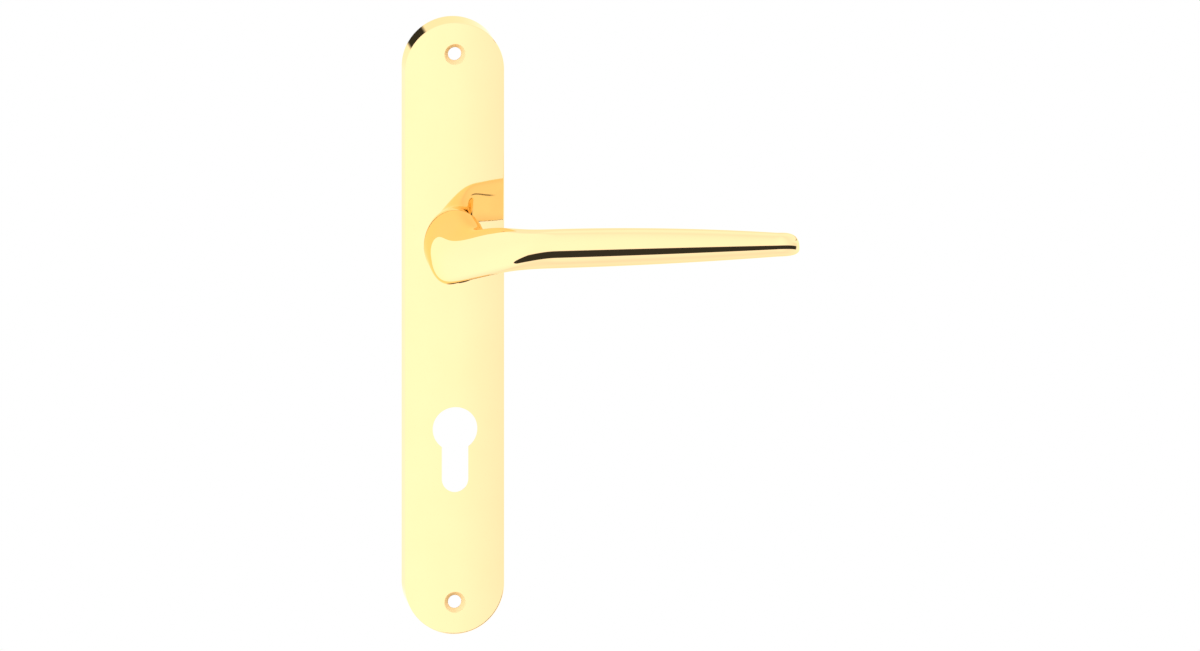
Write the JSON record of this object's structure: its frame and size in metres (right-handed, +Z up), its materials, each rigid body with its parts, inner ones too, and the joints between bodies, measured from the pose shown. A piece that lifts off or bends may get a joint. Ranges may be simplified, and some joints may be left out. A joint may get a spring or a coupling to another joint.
{
  "type": "lever door handle on backplate",
  "caption": "Polished gold lever handle on a long round-ended backplate with a profile-cylinder cut-out, countersunk fixing holes, a sprung cassette and a square spindle.",
  "frame": {"origin": "middle of the plate's height and width, on the back face that lies against the door", "axes": "+X along the grip, -Y out of the door towards the hand, +Z up along the plate"},
  "size_m": [0.1465, 0.0995, 0.24],
  "materials": {
    "polished_gold": "mirror polished, gold plated brass",
    "zinc_steel": "bright zinc plated",
    "dark_steel": "oiled spring steel",
    "natural_nylon": "smooth moulded"
  },
  "bodies": {
    "plate": {"backplate": "polished_gold", "support_frame": "natural_nylon", "frame_screw_1": "zinc_steel", "frame_screw_2": "zinc_steel", "frame_screw_3": "zinc_steel", "frame_screw_4": "zinc_steel", "cassette_housing": "zinc_steel", "cassette_cover": "zinc_steel", "cassette_screw_1": "dark_steel", "cassette_screw_2": "dark_steel", "stop_pin_1": "dark_steel", "stop_pin_2": "dark_steel", "neck_bush": "natural_nylon", "return_spring": "dark_steel"},
    "lever": {"lever": "polished_gold", "spindle": "zinc_steel", "neck_grub_screw": "dark_steel", "rotor": "zinc_steel", "thrust_washer": "natural_nylon", "wave_washer": "dark_steel", "retaining_clip": "dark_steel"}
  },
  "joints": [
    {"name": "lever_hinge", "type": "hinge", "parent": "plate", "child": "lever", "pos_m": [0, -0.0115, 0.0325], "axis": [0, 1, 0], "range_deg": [0, 40], "stiffness_Nm_per_rad": 0.6, "springref_deg": -28.65, "deforming": ["return_spring"]}
  ]
}
